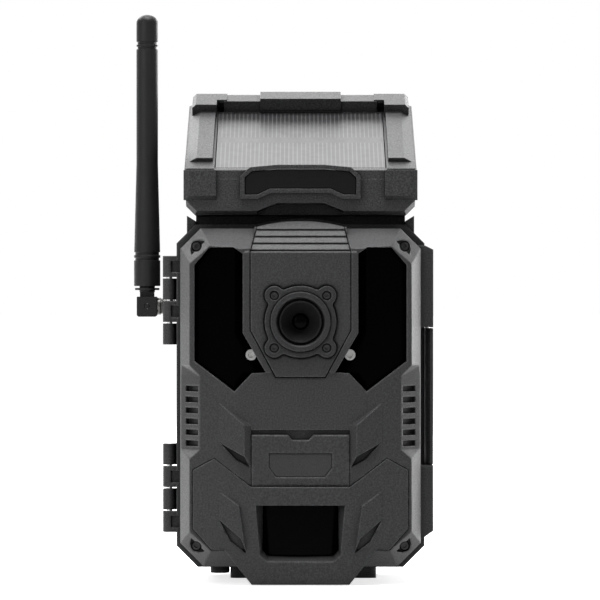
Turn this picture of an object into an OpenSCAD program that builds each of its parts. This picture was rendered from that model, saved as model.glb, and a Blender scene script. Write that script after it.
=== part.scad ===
/* [Case] */
// Width across the flanges of the case
case_w = 79.2; // [78:0.2:84]
// Height of the case from its lower flange to its upper flange
case_h = 109.4; // [108:0.2:114]
// Cut across the upper corners of the case
top_cut = 6; // [5:0.1:6.6]
// Cut across the lower corners of the case
low_cut = 6.8; // [6:0.1:7.6]
// Height of the tripod foot below the case
foot_h = 4.2; // [3.6:0.1:5.4]
// Depth of the door from the seam to its front face
door_d = 28; // [27:0.5:31]
// Depth of the rear housing from the seam to its back
rear_d = 33; // [32.5:0.5:38]
// Distance from the seam back to the axis of the tripod socket
socket_back = 15; // [14:0.5:17]
// Thickness of the moulded walls
wall = 2.2; // [1.8:0.1:2.5]
// Step from the flanges in to the side walls
side_step = 1.6; // [1.2:0.1:2]
// Gap between the door and the rear housing
seam_gap = 0.3; // [0.25:0.05:0.45]
// Thickness of the flanges on either side of the seam
flange_t = 3; // [2.5:0.1:3.4]
// Rise of the arch in the middle of the upper flange
arch_rise = 1.9; // [1.4:0.1:2.3]

/* [Door front] */
// Depth of the bevel round the front of the door
bevel_d = 12; // [11:0.5:13]
// Slope of the bevel at the sides
bevel_side = 0.34; // [0.28:0.01:0.36]
// Slope of the bevel at the top and the bottom
bevel_end = 0.54; // [0.48:0.01:0.58]
// Half width of the flat middle of the front
fold_x = 19.5; // [18.8:0.1:20.6]
// Slope of the two side faces of the front
fold_slope = 0.172; // [0.14:0.004:0.2]
// Distance of the corner screws in from the top and the bottom of the case
corner_in = 7.2; // [7:0.1:7.8]
// Radius of the corner screw heads
corner_head_r = 1.3; // [1.1:0.05:1.4]
// Number of grip slots on each side
grip_count = 6; // [4:1:6]
// Distance between grip slots
grip_pitch = 3.44; // [3:0.02:3.6]
// Height of the middle of the grip
grip_z = 54.1; // [53:0.1:55]

/* [Camera column] */
// Half width of the column between the windows
column_half = 18.1; // [17.8:0.1:18.6]
// Half width of the plate that carries the lens
plate_half = 15.6; // [15:0.1:15.8]
// Height of the lens axis
lens_z = 82.7; // [81.5:0.1:84]
// Radius of the lens ring
ring_r = 11.2; // [10.8:0.1:11.5]
// Thickness of the lens ring
ring_t = 2.2; // [1.8:0.1:2.6]
// Radius of the opening in the lens ring
ring_hole_r = 7.45; // [7.2:0.05:7.8]
// Distance of the ring screws from the lens axis, along X and along Z
ring_screw = 8.2; // [8:0.1:8.4]
// Radius of the lens barrel
barrel_r = 6.6; // [6.4:0.05:6.8]
// Radius of the pupil of the lens
pupil_r = 2.7; // [2:0.1:3.2]
// Distance between the louvre grooves
louvre_pitch = 2.2; // [1.8:0.1:2.3]

/* [Chest and bib] */
// Half width of the chest panel
chest_half = 15.3; // [14.8:0.1:15.5]
// Height of the top edge of the chest panel
chest_top = 47.3; // [46.5:0.1:48]
// Half width of the bare label plate
label_half = 9.9; // [8:0.1:11]
// Half width of the bib
bib_half = 33.8; // [33.2:0.1:34.2]
// How far the middle of the bib stands proud of the door
bib_proud = 1.2; // [0.9:0.1:1.6]
// Half width of the motion sensor lens
pir_half = 11.8; // [11.2:0.1:12.2]
// Height of the motion sensor lens
pir_h = 15.6; // [14.6:0.1:16.2]

/* [Hinge and latch] */
// Distance of the hinge axis outside the flange
hinge_out = 2.4; // [2.35:0.05:2.8]
// Radius of the hinge knuckles
knuckle_r = 2.1; // [1.8:0.05:2.1]
// Radius of the hinge pins
hinge_pin_r = 0.95; // [0.8:0.05:1.1]
// Distance between hinge knuckles
knuckle_pitch = 7.2; // [6.8:0.05:7.4]
// Height of the top of the upper hinge
upper_hinge_top = 103.6; // [102:0.1:104.5]
// Height of the top of the lower hinge
lower_hinge_top = 43.6; // [42.6:0.1:45]
// Length of the latch lever
latch_h = 43.2; // [40:0.1:45]
// Height of the middle of the latch lever
latch_z = 58.9; // [58:0.1:60]
// Thickness of the latch lever
latch_t = 2.2; // [2:0.1:2.6]

/* [Antenna] */
// Height of the antenna connector
antenna_z = 87.5; // [86.5:0.1:88.5]
// Distance of the antenna axis outside the flange
antenna_out = 9.9; // [9.7:0.1:10.6]
// Length of the antenna from its pivot to its tip
antenna_h = 94.1; // [80:0.5:110]
// Radius of the antenna shaft
shaft_r = 3.48; // [3:0.02:3.6]
// Radius of the antenna sleeve
sleeve_r = 4.25; // [4.1:0.05:4.4]
// Width of the antenna elbow
elbow_w = 6.5; // [6.4:0.1:6.8]

/* [Solar head] */
// Width of the solar head
head_w = 73.6; // [72.6:0.2:75.4]
// Depth of the solar head measured along the panel
head_d = 62; // [58:0.5:66]
// Tilt of the solar panel
head_tilt = 22; // [20:0.5:25]
// Height of the upper edge of the front lip
lip_top = 130.6; // [129.6:0.1:132.4]
// Height of the underside of the head above the case
head_gap = 3.1; // [2.8:0.1:3.6]
// Width of the solar panel
panel_w = 54; // [52:0.2:55]
// Thickness of the solar panel
panel_t = 1.6; // [1.2:0.1:2]
// Height of the side rails above the panel
rail_h = 1.8; // [1.4:0.1:2.4]
// Height of the rear caps above the rails
cap_h = 2.5; // [1.8:0.1:2.8]

/* [Mounts] */
// Radius of the wall of the tripod socket
socket_r = 2.6; // [2.5:0.05:2.7]
// Depth of the tripod socket
socket_len = 8; // [7.4:0.1:8.6]
// Depth of the strap channel between the bracket and the case
strap_gap = 5.4; // [5:0.1:8]
// Height of the strap channel
strap_h = 28; // [26:0.5:32]
// Half width of the strap bracket
strap_half = 20; // [18:0.5:24]
// Thickness of the strap bracket
strap_t = 3; // [2.6:0.1:4]

/* [Fits] */
// Clearance round parts that are seated in pockets
seat = 0.2; // [0.15:0.05:0.3]
// Running clearance of pins in their bores
run = 0.05; // [0.03:0.01:0.08]
// Clearance between parts that pass each other
pass = 0.35; // [0.3:0.05:0.45]
// Travel of the push buttons
button_travel = 0.8; // [0.5:0.1:0.9]

/* [Hidden] */
$fn = 48;
eps = 0.01;
far = 60;
over = 1;

// Case levels and planes
flange_half = case_w / 2;
case_bottom = foot_h;
case_top = foot_h + case_h;
seam_y = -socket_back;
front_y = seam_y - door_d;
rear_y = seam_y + rear_d;
door_rear_y = seam_y - seam_gap;
wall_y = seam_y - flange_t;
arch_half = 14;
arch_r = (arch_half * arch_half + arch_rise * arch_rise) / (2 * arch_rise);
arch_base = 8;
side_half = flange_half - side_step;
rear_top_cut = top_cut - side_step;
rear_bevel = 4;
rear_taper = 2.4;

// Door block
bevel_y = front_y + bevel_d;
loft_y = front_y - 2;
cut_y = front_y - 6;
door_bottom = case_bottom + 1.1;
door_top = case_top - 1.5;
door_low_cut = low_cut + 0.6;
door_top_cut = top_cut + 0.4;
cut_fall = 0.1;
front_wall = 4.5;
cavity_y = front_y + front_wall;
cavity_half = side_half - 9;
cavity_low = door_bottom + 8;
cavity_top = door_top - 8;
ledge_y = bevel_y - 2;
cover_t = 2;
cover_y = wall_y - 0.3;
board_t = 1.6;
board_gap = 4.1;
board_y = cover_y - board_gap - board_t;
board_half = 27;
board_low = case_bottom + 8;
board_high = case_top - 15;
post_in = 5;
post_r = 2;

// Corner screws
corner_x = side_half - 5.2;
corner_high = case_top - corner_in;
corner_low = case_bottom + corner_in + 0.6;
corner_floor = bevel_y - 1.4;
corner_facet = bevel_y - 3.4;
corner_pocket_r = corner_head_r + 0.45;
corner_tip = [corner_head_r + 1.5, corner_head_r + 0.2];
corner_side = [corner_pocket_r + 0.5, 0.4];
corner_edge = [
    [-corner_tip[1], -corner_tip[0]], [-corner_side[0], corner_side[1]], [-corner_side[1], corner_side[0]],
    [corner_tip[0], corner_tip[1]]
];
corner_boss_r = 2.9;
corner_shank_r = 0.9;
corner_head_h = 1.2;
socket_depth = 0.7;
socket_size = 0.55;
corner_spots = [
    [corner_x, corner_high], [-corner_x, corner_high], [corner_x, corner_low], [-corner_x, corner_low]
];

// Column
column_low = lens_z - 3.6;
column_foot = lens_z - 15.9;
column_foot_half = column_half - 7.2;
column_y = front_y - 0.5;
column_back = front_y + 3;
slope_z = case_top - 9.2;
slope_rise = 10.1;
slope_run = 12.5;
slope_end_y = column_y + slope_run;
shoulder_z = case_top - 1.7;
shoulder_half = plate_half - 1.1;
shoulder_drop = 2.4;
plate_t = 2.4;
plate_y = column_y + 0.1;
plate_low = lens_z - 2.6;
plate_foot = lens_z - 17.3;
plate_foot_half = plate_half - 7.9;
plate_top_half = plate_half - 1.8;
plate_gap = 0.35;
plate_shoulder = case_top - 1.9;
plate_arch = 0.8;
louvre_count = 4;
louvre_start = 0.15;
louvre_w = 0.55;
louvre_d = 0.9;

// Infrared windows, as outlines of the left one
window_top = case_top - 7.6;
window_out = side_half - 4.7;
window_tip = lens_z - 21.9;
window_recess = 3.5;
window_t = 1.6;
window_fold = 20.7;
window_fall = 0.29;
window_under = 2.6;
window_eave = 2;
window_screw = [window_fold - 5.2, lens_z - 10.4];
window_screw_r = 1.75;
window_screw_shank = 0.9;
window_head_h = 1;
window_edge = [
    [-window_out, window_top - 5.5], [-window_out, window_tip + 9.5], [-window_fold, window_tip],
    [-column_foot_half - 4.4, column_foot - 0.3], [-column_foot_half, column_foot],
    [-column_half, column_low], [-column_half, window_top - 2], [-window_fold - 0.3, window_top],
    [-window_out + 4.7, window_top]
];
window_hidden = [
    [-window_out, window_top - 5.5], [-window_out, window_tip + 9.5], [-window_fold, window_tip],
    [-column_foot_half - 4.4, column_foot - 0.3], [-column_foot_half + window_under, column_foot - 0.3],
    [-column_half + window_under, column_low - 0.3], [-column_half + window_under, window_top - 3],
    [-window_fold - 0.3, window_top], [-window_out + 4.7, window_top]
];
led_board_t = 1.2;
led_board_y = ledge_y - led_board_t;
led_board_edge = [
    [-window_out, window_top - 5.5], [-window_out, window_tip + 14], [-window_fold, window_tip + 7],
    [-column_half + 1, window_tip + 12], [-column_half + 1, window_top - 2],
    [-window_fold - 0.3, window_top], [-window_out + 4.7, window_top]
];
led_r = 1.1;
led_h = 0.7;
led_rows = 6;
led_columns = 3;
led_pitch = 4;
led_start = [0.6, 5.4];

// Lens
ring_raise = 0.8;
ring_y = plate_y - ring_t;
ring_flange_y = ring_y + ring_raise;
ring_bed = 0.6;
ring_gap = 0.4;
ring_back_y = plate_y + ring_bed;
ear_r = 3;
ear_fillet = 1.5;
ring_raise_r = ring_hole_r + 1.9;
ring_groove = 0.35;
ring_step_r = ring_hole_r + 0.4;
ring_dish = 0.25;
ring_head_r = 1.1;
ring_head_gap = 0.4;
ring_head_h = 0.7;
ring_sink = 1.1;
ring_shank_r = 0.7;
ring_spots = [
    [ring_screw, lens_z + ring_screw], [-ring_screw, lens_z + ring_screw],
    [ring_screw, lens_z - ring_screw], [-ring_screw, lens_z - ring_screw]
];
barrel_y = ring_y + 1.1;
barrel_d = 11;
barrel_back = barrel_y + barrel_d;
barrel_lip = 0.3;
mouth_r = barrel_r - barrel_lip;
throat_y = barrel_y + 0.6;
throat_r = mouth_r - 0.2;
pupil_y = throat_y + 4.4;
glass_r = pupil_r - run;
glass_rise = 0.7;
glass_t = 1.6;
glass_sphere_r = (glass_r * glass_r + glass_rise * glass_rise) / (2 * glass_rise);
module_half = 8.5;

// Chest
chest_low = lens_z - 51.7;
chest_depth = 2;
chest_y = front_y - 0.2;
chest_floor = chest_y + chest_depth;
chest_groove = 1.5;
chest_notch = [4, 2.6, 1.6];
label_top = chest_top - 5.8;
label_low = chest_low + 3.1;
label_cut = [2.2, 3];
label_depth = 0.6;
label_t = 0.4;
chest_wing_out = 26.1;
chest_edge = 0.3;
chest_wing_in = 17.6;
chest_wing_rise = 2.2;
chest_wing_low = chest_top - 10.7;
chest_wing_base = [
    [-chest_wing_out, chest_top + 10.4], [-chest_wing_out, chest_top - 2.2],
    [-chest_wing_out + 6, chest_top - 8.2], [-chest_half - chest_edge, chest_wing_low],
    [-chest_half - chest_edge, chest_top + 3.6]
];
chest_wing_crest = [
    [-chest_wing_out, chest_top + 10.1], [-chest_wing_out, chest_top - 1.8],
    [-chest_wing_out + 6, chest_top - 5.1], [-chest_half - chest_edge, chest_top - 7.6],
    [-chest_half - chest_edge, chest_top + 1.6]
];
chest_vent = [
    [-chest_wing_out + 0.9, chest_top - 2.6], [-chest_wing_in, chest_top - 6.8],
    [-chest_half - 2 * chest_edge, chest_wing_low + 0.5], [-chest_wing_out + 6, chest_top - 7.9]
];
vent_depth = 2.6;

// Bib
bib_z = 0.4;
bib_fold = 12.2;
bib_y = front_y - bib_proud;
bib_sink = 1;
bib_back = front_y + bib_sink;
bib_flush = 0.3;
bib_overlap = 0.6;
bib_slope = (bib_proud + (bib_half - fold_x) * fold_slope - bib_flush) / (bib_half - bib_fold);
bib_chin_half = 15.3;
bib_edge = both([
    [bib_chin_half, bib_z], [bib_half - 9.9, 11.1], [bib_half - 5.9, 11.2], [bib_half, 17.8],
    [bib_half, chest_low + 5.1], [bib_half - 6.7, chest_low + 8.8], [chest_half + 0.2, chest_low]
]);
bib_wing_out = 26.1;
bib_wing_in = 18.6;
bib_wing_rise = 1.6;
bib_wing_flat = 2;
bib_wing_base = [
    [-bib_wing_out, 29.9], [-bib_wing_out, 19.4], [-16.4, 8.6], [-18.7, 25.6]
];
bib_wing_crest = [
    [-bib_wing_out, 29.5], [-bib_wing_out, 21.4], [-17.6, 13.6], [-19.4, 24.8]
];
bib_vent = [[-bib_wing_out + 0.6, 20.6], [-bib_wing_in, 14.8], [-17, 10.2], [-21.8, 13.8]];
pir_z = 9.4;
pir_top = pir_z + pir_h;
pir_y = front_y + 4.2;
pir_t = 1.6;
pir_mouth = 2.2;
pir_corner = 1.6;
pir_sill = 1.9;
pir_bulge = 1.4;
pir_curve = 40;
pir_flange = 0.6;
tunnel_t = 1.5;
tunnel_y = pir_y + pir_t + 1;
chin_back = bevel_y - 1.5;
chin_slope = 4;
pir_can_r = 4.5;
pir_can_h = 5.4;

// Grip
grip_in = side_half - 6.6;
grip_flat = 11.5;
grip_ramp = 3.8;
grip_front_y = front_y + 1.9;
grip_miss = 0.3;
grip_fall = 3.5;
grip_slot_h = 1.8;
grip_slot_drop = 1.06;
grip_slot_d = 1.6;
grip_slot_w = 7.4;
grip_slot_in = 1.25;

// Hinge and latch
hinge_x = -flange_half - hinge_out;
knuckle_gap = 0.45;
knuckle_h = knuckle_pitch - knuckle_gap;
arm_sink = 0.9;
arm_in = 1.2;
arm_pocket = 1.5;
arm_root = 0.6;
pin_bore_r = hinge_pin_r + run;
latch_x = flange_half + pass;
latch_pin_x = latch_x + latch_t / 2;
latch_pin_y = seam_y + 14;
latch_pin_r = 0.7;
latch_low = latch_z - latch_h / 2;
latch_high = latch_z + latch_h / 2;
latch_front = seam_y - 10;
latch_nose = 1.2;
latch_groove = 0.6;
latch_ribs = [2, 9, 2.6];
ear_h = 6;
ear_y = latch_pin_y - 7;
block_x = latch_x + latch_t;
block_y = seam_y - 11;
block_high = case_top - 8.1;
block_low = case_bottom + 9.4;
block_cut = 2.6;
lug_x = flange_half - low_cut + 1.5;
lug_z = case_bottom + 5.4;
lug_w = 3.9;
lug_h = 2;

// Antenna
antenna_x = -flange_half - antenna_out;
antenna_y = seam_y + 10;
elbow_half = elbow_w / 2;
elbow_low = 3.4;
elbow_high = 3.1;
elbow_round = 4.35;
jack_r = 2.1;
jack_hex_r = 4;
jack_hex_t = 1.4;
jack_out = 4.6;
jack_in = 3.4;
nut_r = 2.8;
nut_groove = 0.35;
nut_groove_w = 0.5;
nut_rings = [0.2, 0.5, 0.8];
nut_web = 1.2;
nut_x = antenna_x + elbow_half;
nut_end = -side_half - jack_hex_t - 0.5;
stub_r = 1.6;
tongue_t = 2.6;
tongue_half = 2.3;
slot_gap = 0.3;
elbow_pin_r = 0.8;
core_r = 2.5;
core_from = 4.6;
core_to = 9.5;
disc_r = 3.95;
disc_from = 5.2;
disc_t = 0.7;
sleeve_from = 6.5;
sleeve_to = 14.8;
band_from = 15.6;
band_to = 16.5;
taper_from = 17.4;
taper_to = 46.2;
groove_depth = 0.4;
groove_w = 0.9;
groove_top = 11.2;
groove_low = 9.7;
dome_h = 2.6;
dome_steps = 8;

// Cells
cell_r = 7.1;
cell_h = 48.5;
cell_pitch = 14.4;

// Solar head
head_half = head_w / 2;
head_bottom = case_top + head_gap;
lip_y = seam_y - 14;
lip_bevel = 3;
lip_low = head_bottom + 1;
lip_cut = 4.4;
rear_cut = 2.5;
lip_sweep = lip_bevel + 0.6;
lip_notch = [13.8, 7.5, 2.5];
notch_back = lip_y + 16;
shell_n = -panel_t - 1;
shell_in = 0.5;
shell_end = head_d - 0.6;
head_rear_y = lip_y + shell_end * cos(head_tilt);
bay_half = cell_h / 2 + pass;
bay_y0 = lip_y + 17;
bay_y1 = head_rear_y - wall;
bay_floor = head_bottom + 2.6;
panel_half = panel_w / 2;
panel_u = 2.4;
bar_u = head_d - 6.5;
bar_half = panel_half - 2.8;
bar_n = rail_h + cap_h - 0.4;
visor_half = 13.3;
visor_n = rail_h + cap_h + 0.7;
cap_u = head_d - 11;
cap_n = rail_h + cap_h;
cap_out = head_half - 1.2;
rail_in = panel_half + 0.6;
rail_bevel = 3.8;
rail_ledge = 0.4;
rail_root = 2;
cap_edge = 1.2;
cap_roof = 6.2;
cap_roof_t = 1.1;
visor_out = 0.6;
panel_room = 1;
guard_key = [1.5, 1.9];
guard_u = 6.5;
guard_n = 0.5;
guard_in = panel_half - 0.2;
guard_out = head_half + 0.25;
guard_y = lip_y - 1.3;
guard_low = lip_low + 3.4;
guard_bevel = [1.8, 1.4];
badge_half = 19;
badge_y = lip_y - 1.4;
badge_rim = 1.3;
badge_step = 0.5;
badge_low = lip_low + 3.8;
badge_edge = both([
    [9.3, badge_low + 1.9], [13.5, badge_low], [badge_half, badge_low], [badge_half, badge_low + 7.3],
    [badge_half - 3, badge_low + 10], [7.4, badge_low + 10.8]
]);
neck_half = head_half - 0.4;
neck_arm = 2.6;
neck_y0 = seam_y + 0.4;
neck_y1 = seam_y + 28.6;
neck_recess = 12;
neck_line = flange_half - top_cut;
neck_crest = head_bottom - 0.2;
neck_dip = 1.6;
neck_spots = [[-18, 3], [18, 3], [-18, 11], [18, 11]];
neck_shank_r = 1.2;
neck_head_r = 2.2;
neck_head_h = 1.5;
charge_half = 17;
charge_gap = 0.5;
charge_d = 8;
charge_chips = [[-6, 3, 1.2], [7, 2.5, 2.6]];

// Tripod foot and power jack
jack_body_half = 4.1;
jack_body_h = 3.1;
jack_roof = 0.9;
plug_r = 2.5;
plug_hole_r = plug_r + 0.3;
plug_head_r = 3;
plug_room = 0.4;
plug_x = -(side_half - low_cut - wall * tan(22.5) - jack_body_half - seat);
plug_y = seam_y + 17;
plug_head_low = case_bottom - 2.6;
plug_head_top = case_bottom - 0.1;
plug_tab = 8;
plug_reach = 0.9;
foot_left = plug_x + plug_head_r + plug_room;
foot_right = 24.4;
foot_y0 = seam_y + 6;
foot_y1 = rear_y - 4;
foot_round = 2;
bush_r = socket_r + 1.7;
bush_h = socket_len + 1.4;
bush_web = 1;
boss_r = bush_r + 1.8;

// Batteries
nub_r = 2.7;
nub_h = 1.2;
spring_h = 3;
spring_r = cell_r - 1.6;
tray_wall = 1.2;
tray_low = bush_h + 0.4;
tray_high = tray_low + 2 * tray_wall + spring_h + cell_h + nub_h;
tray_half = 2 * cell_pitch + tray_wall + 0.1;
tray_back = rear_y - wall;
tray_front = tray_back - tray_wall - 2 * cell_pitch;
tray_tab = 6;
tray_screw_x = 20;
tray_bite = 1.4;
cell_low = tray_low + tray_wall + spring_h;

// Inner electronics
button_r = 2.6;
button_flange_r = 3.3;
button_flange_t = 1;
button_x = 15;
power_z = lens_z - 12;
test_z = power_z - 11;
button_rear_y = cover_y + cover_t + 0.6;
button_front_y = cover_y - 1.5;
switch_half = 3;
switch_y = button_front_y - button_travel - 0.15;
card_half = 12;
card_h = 32;
card_t = 2.1;
card_gap = 0.15;
card_notch = 4;
card_room = [2, 10];
card_x = -11;
card_low = lens_z - 42;
card_y = board_y + board_t + 0.6;
slot_wall = 0.9;
slot_low = card_low + 6;
slot_high = card_low + card_h + 1.4;

// Strap bracket
strap_z = 62;
strap_rib = 6;
strap_round = 3;
strap_inset = 1;
bracket_y = rear_y + strap_gap;
bracket_back = bracket_y + strap_t;
bracket_screw_x = strap_half - 5;
bracket_screw_z = strap_h / 2 + strap_rib / 2;
bracket_head_r = 2.2;
bracket_head_h = 1.4;
bracket_shank_r = 1.4;
bracket_bite = 1.5;
bracket_head_y = bracket_back - bracket_head_h - seat;
bracket_spots = [
    [bracket_screw_x, strap_z + bracket_screw_z], [-bracket_screw_x, strap_z + bracket_screw_z],
    [bracket_screw_x, strap_z - bracket_screw_z], [-bracket_screw_x, strap_z - bracket_screw_z]
];

// Gasket
groove_in = 1.2;
groove_wide = 1.4;
groove_deep = 1.2;
gasket_gap = 0.1;

function octagon(half, z0, z1, low, high) = [
    [-half, z0 + low], [-half + low, z0], [half - low, z0], [half, z0 + low],
    [half, z1 - high], [half - high, z1], [-half + high, z1], [-half, z1 - high]
];

// Outline given by its right half, from the bottom to the top or from the top to the bottom
function both(points) = concat(
    points,
    [for (i = [len(points) - 1:-1:0]) [-points[i][0], points[i][1]]]
);

function shifted(p, q, d) =
    let (v = q - p, n = [-v[1], v[0]] / norm(v))
    [p + n * d, q + n * d];

function meet(a, b) =
    let (u = a[1] - a[0], v = b[1] - b[0], w = b[0] - a[0], k = u[0] * v[1] - u[1] * v[0])
    abs(k) < 1e-6 ? a[1] : a[0] + u * ((w[0] * v[1] - w[1] * v[0]) / k);

// Outline moved inwards by d, with its points listed anticlockwise
function inset(points, d) = [
    for (i = [0:len(points) - 1])
    let (n = len(points), p = points[(i + n - 1) % n], q = points[i], r = points[(i + 1) % n])
    meet(shifted(p, q, d), shifted(q, r, d))
];

function door_ring(y) =
    let (k = max(0, bevel_y - y))
    octagon(side_half - bevel_side * k, door_bottom + bevel_end * k, door_top - bevel_end * k,
        door_low_cut - cut_fall * k, door_top_cut - cut_fall * k / 4);

function rear_ring(cut) =
    octagon(side_half - cut, case_bottom + cut, case_top - cut, low_cut, rear_top_cut);

// Heights of the tops of the knuckles on the door and on the rear housing
function door_knuckles() = [
    upper_hinge_top, upper_hinge_top - 2 * knuckle_pitch,
    lower_hinge_top - knuckle_pitch, lower_hinge_top - 3 * knuckle_pitch
];

function rear_knuckles() = [
    upper_hinge_top - knuckle_pitch, upper_hinge_top - 3 * knuckle_pitch,
    lower_hinge_top, lower_hinge_top - 2 * knuckle_pitch
];

// Depth of the folded front face at a distance x from the middle
function face_y(x) = front_y + max(0, abs(x) - fold_x) * fold_slope;

// Solid between y0 and y1 of an outline drawn in X and Z
module slab(y0, y1) {
    translate([0, y1, 0]) rotate([90, 0, 0]) linear_extrude(height = y1 - y0) children();
}

// Solid between x0 and x1 of an outline drawn in Y and Z
module beam(x0, x1) {
    translate([x0, 0, 0]) rotate([90, 0, 90]) linear_extrude(height = x1 - x0) children();
}

// Solid between z0 and z1 of an outline drawn in X and Y
module post(z0, z1) {
    translate([0, 0, z0]) linear_extrude(height = z1 - z0) children();
}

module rod_x(y, z, x0, x1, r) {
    translate([x0, y, z]) rotate([0, 90, 0]) cylinder(r = r, h = x1 - x0);
}

module rod_y(x, z, y0, y1, r) {
    translate([x, y0, z]) rotate([-90, 0, 0]) cylinder(r = r, h = y1 - y0);
}

module rod_z(x, y, z0, z1, r) {
    translate([x, y, z0]) cylinder(r = r, h = z1 - z0);
}

module cone_y(x, z, y0, y1, r0, r1) {
    translate([x, y0, z]) rotate([-90, 0, 0]) cylinder(r1 = r0, r2 = r1, h = y1 - y0);
}

module box(low, high) {
    translate(low) cube(high - low);
}

module both_sides() {
    children();
    mirror([1, 0, 0]) children();
}

// Solid that runs from one outline at y0 to another with as many points at y1
module loft(a, y0, b, y1) {
    n = len(a);
    points = concat([for (p = a) [p[0], y0, p[1]]], [for (p = b) [p[0], y1, p[1]]]);
    lower = [for (i = [0:n - 1]) [i, (i + 1) % n, n + (i + 1) % n]];
    upper = [for (i = [0:n - 1]) [i, n + (i + 1) % n, n + i]];
    front = [[for (i = [n - 1:-1:0]) i]];
    back = [[for (i = [0:n - 1]) n + i]];
    polyhedron(points = points, faces = concat(front, back, lower, upper), convexity = 4);
}

// Solid through outlines in X and Y, each listed with its height
module stack(levels) {
    n = len(levels[0][1]);
    last = len(levels) - 1;
    points = [for (level = levels, p = level[1]) [p[0], p[1], level[0]]];
    lower = [
        for (k = [0:last - 1], i = [0:n - 1]) [k * n + i, (k + 1) * n + i, (k + 1) * n + (i + 1) % n]
    ];
    upper = [
        for (k = [0:last - 1], i = [0:n - 1]) [k * n + i, (k + 1) * n + (i + 1) % n, k * n + (i + 1) % n]
    ];
    foot = [[for (i = [0:n - 1]) i]];
    top = [[for (i = [n - 1:-1:0]) last * n + i]];
    polyhedron(points = points, faces = concat(foot, top, lower, upper), convexity = 4);
}

// Screw with its head towards the front and a hexagon socket in the head
module screw_y(spot, head_y, head_h, head_r, shank_to, shank_r) {
    x = spot[0];
    z = spot[1];
    difference() {
        union() {
            rod_y(x, z, head_y - head_h, head_y, head_r);
            rod_y(x, z, head_y - eps, shank_to, shank_r);
        }
        translate([x, head_y - head_h - eps, z]) rotate([-90, 0, 0])
            cylinder(r = head_r * socket_size, h = socket_depth * head_h + eps, $fn = 6);
    }
}

module arch_outline(top, half) {
    intersection() {
        translate([0, top - arch_r]) circle(r = arch_r, $fn = 96);
        translate([-half, top - arch_rise - arch_base]) square([2 * half, arch_rise + arch_base + over]);
    }
}

module flange_outline(shrink) {
    polygon(inset(octagon(flange_half, case_bottom, case_top, low_cut, top_cut), shrink));
}

// Everything behind a folded front that is flat in the middle and falls back at the sides
module behind_front(y, fold, slope) {
    edge_y = y + (far - fold) * slope;
    post(-far, 4 * far) polygon([
        [-far, far], [-far, edge_y], [-fold, y], [fold, y], [far, edge_y], [far, far]
    ]);
}

module knuckle(top, side) {
    low = top - knuckle_h;
    rod_z(hinge_x, seam_y, low, top, knuckle_r);
    arm_y = side * (knuckle_r + seam_gap) / 2;
    arm_d = knuckle_r - seam_gap;
    translate([hinge_x, seam_y + arm_y - arm_d / 2, low])
        cube([hinge_out + arm_in, arm_d, knuckle_h]);
}

module hinge_bores() {
    rod_z(hinge_x, seam_y, lower_hinge_top - 5 * knuckle_pitch, case_top, pin_bore_r);
}

// Rear housing
module rear_housing() {
    color([0.27, 0.27, 0.28]) difference() {
        union() {
            slab(seam_y, seam_y + flange_t) flange_outline(0);
            slab(seam_y + flange_t - eps, rear_y - rear_bevel) polygon(rear_ring(0));
            loft(rear_ring(0), rear_y - rear_bevel, rear_ring(rear_taper), rear_y);
            foot_block();
            for (top = rear_knuckles()) knuckle(top, 1);
            slab(seam_y, seam_y + flange_t) translate([lug_x, lug_z]) square([lug_w, lug_h]);
            latch_ear(latch_high + pass, latch_high + pass + ear_h);
            latch_ear(latch_low - pass - ear_h, latch_low - pass);
        }
        difference() {
            slab(seam_y - over, rear_y - wall) polygon(inset(rear_ring(0), wall));
            rod_z(0, 0, 0, bush_h, boss_r);
        }
        gasket_groove(0);
        rod_z(0, 0, -over, bush_h - bush_web, bush_r);
        hinge_bores();
        rod_z(latch_pin_x, latch_pin_y, latch_low - 2 * ear_h, latch_high + 2 * ear_h, latch_pin_r + run);
        rod_z(plug_x, plug_y, case_bottom - over, case_bottom + wall + over, plug_hole_r);
        rod_x(antenna_y, antenna_z, -flange_half - over, -side_half + 2 * wall, jack_r + run);
        for (spot = bracket_spots)
            rod_y(spot[0], spot[1], rear_y - bracket_bite - eps, rear_y + over, bracket_shank_r + run);
        for (spot = neck_spots)
            rod_z(spot[0], spot[1], case_top - 2 * wall, case_top + over, neck_shank_r + run);
        for (x = [-tray_screw_x, tray_screw_x])
            rod_y(x, tray_high + tray_tab / 2, tray_back - over, tray_back + tray_bite, neck_shank_r + run);
    }
}

module foot_block() {
    post(0, case_bottom + wall) hull() {
        for (x = [foot_left + foot_round, foot_right - foot_round])
            for (y = [foot_y0 + foot_round, foot_y1 - foot_round])
                translate([x, y]) circle(r = foot_round, $fn = 32);
    }
}

module latch_ear(z0, z1) {
    box([side_half - over, ear_y, z0], [latch_pin_x, latch_pin_y + latch_t / 3, z1]);
    rod_z(latch_pin_x, latch_pin_y, z0, z1, latch_t / 2);
}

module gasket_groove(gap) {
    slab(seam_y - gap, seam_y + groove_deep) difference() {
        flange_outline(groove_in + gap);
        flange_outline(groove_in + groove_wide - gap);
    }
}

module base_socket() {
    color([0.72, 0.56, 0.28]) difference() {
        rod_z(0, 0, 0, bush_h - bush_web, bush_r - run / 2);
        rod_z(0, 0, -over, socket_len, socket_r);
    }
}

module door_gasket() {
    color([0.1, 0.1, 0.1]) gasket_groove(gasket_gap);
}

module battery_tray() {
    color([0.13, 0.13, 0.13]) difference() {
        union() {
            box([-tray_half, tray_front, tray_low], [tray_half, tray_back, tray_high]);
            box([-tray_half, tray_back - tray_wall, tray_high - eps],
                [tray_half, tray_back, tray_high + tray_tab]);
        }
        box([-tray_half + tray_wall, tray_front - over, tray_low + tray_wall],
            [tray_half - tray_wall, tray_back - tray_wall, tray_high - tray_wall]);
        for (x = [-tray_screw_x, tray_screw_x])
            rod_y(x, tray_high + tray_tab / 2, tray_back - wall, tray_back + over, neck_shank_r + run);
    }
}

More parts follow.
